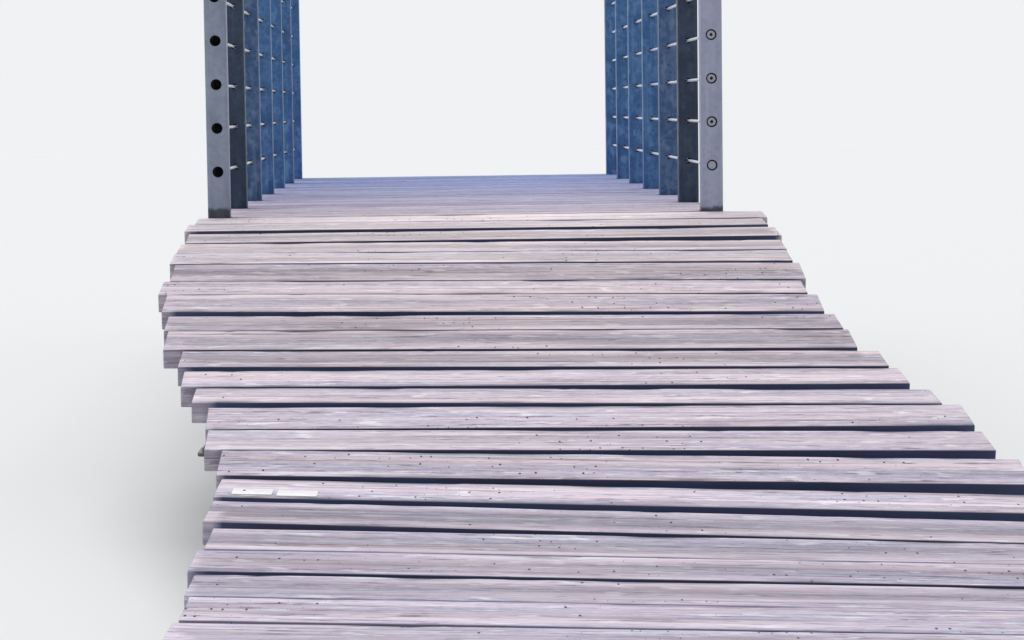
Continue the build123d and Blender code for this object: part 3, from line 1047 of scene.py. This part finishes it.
def makeTopRail(side):
    nodeName = side + "_top_rail"
    low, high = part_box(nodeName)
    shape = boxShape(high - low, (low + high) / 2)
    bevelEdges(shape, [edge for edge in shape.edges if edge.calc_length() > 1], railLook["corner"], 4)
    ends = [face for face in shape.faces if abs(face.normal.y) > 0.9]
    bevelEdges(shape, rimOf(shape, ends), railLook["endEdge"], 2)
    for y, direction in ((low.y + railLook["capLength"], 1), (high.y - railLook["capLength"], -1)):
        for step in (0, railLook["seam"]):
            cutAcross(shape, (0, y + direction * step, 0), (0, 1, 0))
        seam = [face for face in shape.faces if abs(face.normal.y) < 0.5
                and 0 < (face.calc_center_median().y - y) * direction < railLook["seam"]]
        bmesh.ops.inset_region(shape, faces=seam, thickness=railLook["seamLip"], depth=-railLook["seamDepth"])
    finishPiece(shape, nodeName + "_tube", [postZinc["rail"]], [nodeName], sharpAbove=35)


for side in ("left", "right"):
    makeTopRail(side)
print("top rails fitted")

# the steel frame below the deck
frameLook = {
    "plain": (0.21, 0.22, 0.24),
    "pale": (0.31, 0.32, 0.34),
    "dark": (0.13, 0.14, 0.16),
    "footDark": (0.10, 0.09, 0.08),
    "footDarkRise": 0.006,
    "blotches": 0.25,
    "edges": {"left_edge_beam": 0.0015, "right_edge_beam": 0.0015, "header_beam": 0.0020,
              "cross_beams": 0.0020},
}


def dressSteel(nodeName, offset):
    shape = plainFaced(nodeName)
    softenEdges(shape, offset, 30)
    finishPiece(shape, nodeName + "_steel", [frameZinc], [nodeName], sharpAbove=30)


frameZinc = zincMaterial("galvanisedFrame", frameLook, 0)
for nodeName, offset in frameLook["edges"].items():
    dressSteel(nodeName, offset)

# foot plates with four anchor bolts each
plateLook = {
    "corner": 0.010,
    "edge": 0.0015,
    "boltInset": 0.022,
    "studDiameter": 0.012,
    "studHeight": 0.018,
    "hexWidth": 0.019,
    "hexHeight": 0.010,
    "washerDiameter": 0.024,
    "washerThickness": 0.0025,
}


def makeFootPlates(side):
    nodeName = side + "_foot_plates"
    low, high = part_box(nodeName)
    width = high.x - low.x
    thickness = high.z - low.z
    reach = width / 2 - plateLook["boltInset"]
    up = Vector((0, 0, 1))
    whole = bmesh.new()
    for number in range(1, postCount + 1):
        centre = postCentres[f"{side}_post_{number}"]
        plate = boxShape((width, width, thickness))
        bevelEdges(plate, uprightEdges(plate), plateLook["corner"], 4)
        softenEdges(plate, plateLook["edge"], 60)
        addTo(whole, plate, Matrix.Translation((centre.x, centre.y, thickness / 2)))
        for stepX in (-1, 1):
            for stepY in (-1, 1):
                spot = Vector((centre.x + stepX * reach, centre.y + stepY * reach, thickness))
                addFastener(whole, plateLook, spot, up)
                stud = washer(plateLook["studDiameter"], plateLook["studHeight"])
                addTo(whole, stud, Matrix.Translation(spot + up * plateLook["studHeight"] / 2))
    finishPiece(whole, nodeName + "_bolted", [frameZinc], [nodeName], sharpAbove=35)


for side in ("left", "right"):
    makeFootPlates(side)

# two bolts through each post after the first hold the edge beam against it
beamBoltLook = {
    "heights": (0.035, 0.115),
    "webThickness": 0.006,
    "hexWidth": 0.019,
    "hexHeight": 0.0075,
    "washerDiameter": 0.024,
    "washerThickness": 0.0025,
}


def boltBeams():
    whole = bmesh.new()
    turn = Matrix.Rotation(radians(90), 4, "Y")
    for side, outward in (("left", -1), ("right", 1)):
        beamLow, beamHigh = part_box(side + "_edge_beam")
        backOfBeam = beamLow.x if outward < 0 else beamHigh.x
        webFace = backOfBeam - outward * beamBoltLook["webThickness"]
        for number in range(2, postCount + 1):
            low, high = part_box(f"{side}_post_{number}")
            postFace = low.x if outward < 0 else high.x
            for rise in beamBoltLook["heights"]:
                for face, direction in ((postFace, outward), (webFace, -outward)):
                    spot = Vector((face, (low.y + high.y) / 2, beamLow.z + rise))
                    addFastener(whole, beamBoltLook, spot, Vector((direction, 0, 0)), turn)
    finishPiece(whole, "beam_bolts", [frameZinc], sharpAbove=30)


boltBeams()
print("steel frame and foot plates made")

# timber under the walk
timberLook = {
    "pale": (0.30, 0.26, 0.23),
    "plain": (0.19, 0.155, 0.13),
    "dark": (0.105, 0.085, 0.075),
    "crack": (0.03, 0.025, 0.022),
    "arris": 0.003,
    "gloss": 0.3,
}


def timberMaterial(name, grainScale, slope=0.0):
    pale, plain, dark, black = ((*timberLook[part], 1) for part in ("pale", "plain", "dark", "crack"))
    material, tree, shader = startMaterial(name)
    tilt = {"Vector": objectPlace(tree), "Rotation": (-slope, 0, 0)}
    place = addNode(tree, "ShaderNodeMapping", tilt).outputs[0]
    grain, fine, waves = (
        noiseAt(tree, stretched(tree, place, tuple(part * times for part in grainScale)),
                detail=detail, roughness=roughness)
        for times, detail, roughness in ((1, 5, 0.65), (3.4, 3, 0.6), (0.6, 2, 0.5)))
    clouds = noiseAt(tree, place, scale=3, detail=3)
    colour = mixColours(tree, ramp(tree, grain, 0.3, 0.7), plain, pale)
    colour = mixColours(tree, ramp(tree, fine, 0.50, 0.30, 0, 0.7), colour, dark)
    crack = mathNode(tree, "COMPARE", waves, 0.5, 0.008)
    broken = mathNode(tree, "MULTIPLY", crack, ramp(tree, grain, 0.45, 0.55))
    colour = mixColours(tree, broken, colour, black)
    colour = mixColours(tree, ramp(tree, clouds, 0.45, 0.75, 0, 0.45), colour, dark)
    setSockets(tree, shader, {
        "Base Color": colour,
        "Roughness": ramp(tree, grain, 0.3, 0.7, 0.9, 0.7),
        "Specular IOR Level": timberLook["gloss"],
        "Normal": bumped(tree, mathNode(tree, "ADD", grain, fine), 0.5, 0.001),
    })
    return material


def slopeOf(nodeName):
    # how steeply a timber runs down towards the foot of the ramp
    shape = plainFaced(nodeName)
    longest = max(shape.edges, key=lambda edge: edge.calc_length())
    run = longest.verts[0].co - longest.verts[1].co
    shape.free()
    return atan2(run.z, run.y) if run.y > 0 else atan2(-run.z, -run.y)


def dressTimber(nodeName, material):
    shape = plainFaced(nodeName)
    softenEdges(shape, timberLook["arris"], 60)
    finishPiece(shape, nodeName + "_timber", [material], [nodeName], sharpAbove=30)


# the grain runs along each timber
timbers = (
    (timberMaterial("framingDownRamp", (70, 3, 70), slopeOf("middle_stringer")),
     ("left_stringer", "middle_stringer", "right_stringer")),
    (timberMaterial("framingAlongWalk", (70, 3, 70)), ("approach_bearers", "middle_joist")),
    (timberMaterial("framingAcrossWalk", (3, 70, 70)), ("upper_cross_beam", "lower_cross_beam")),
    (timberMaterial("framingUpright", (70, 70, 3)), ("ramp_legs", )),
)
for material, nodeNames in timbers:
    for nodeName in nodeNames:
        dressTimber(nodeName, material)
print("timbers dressed")
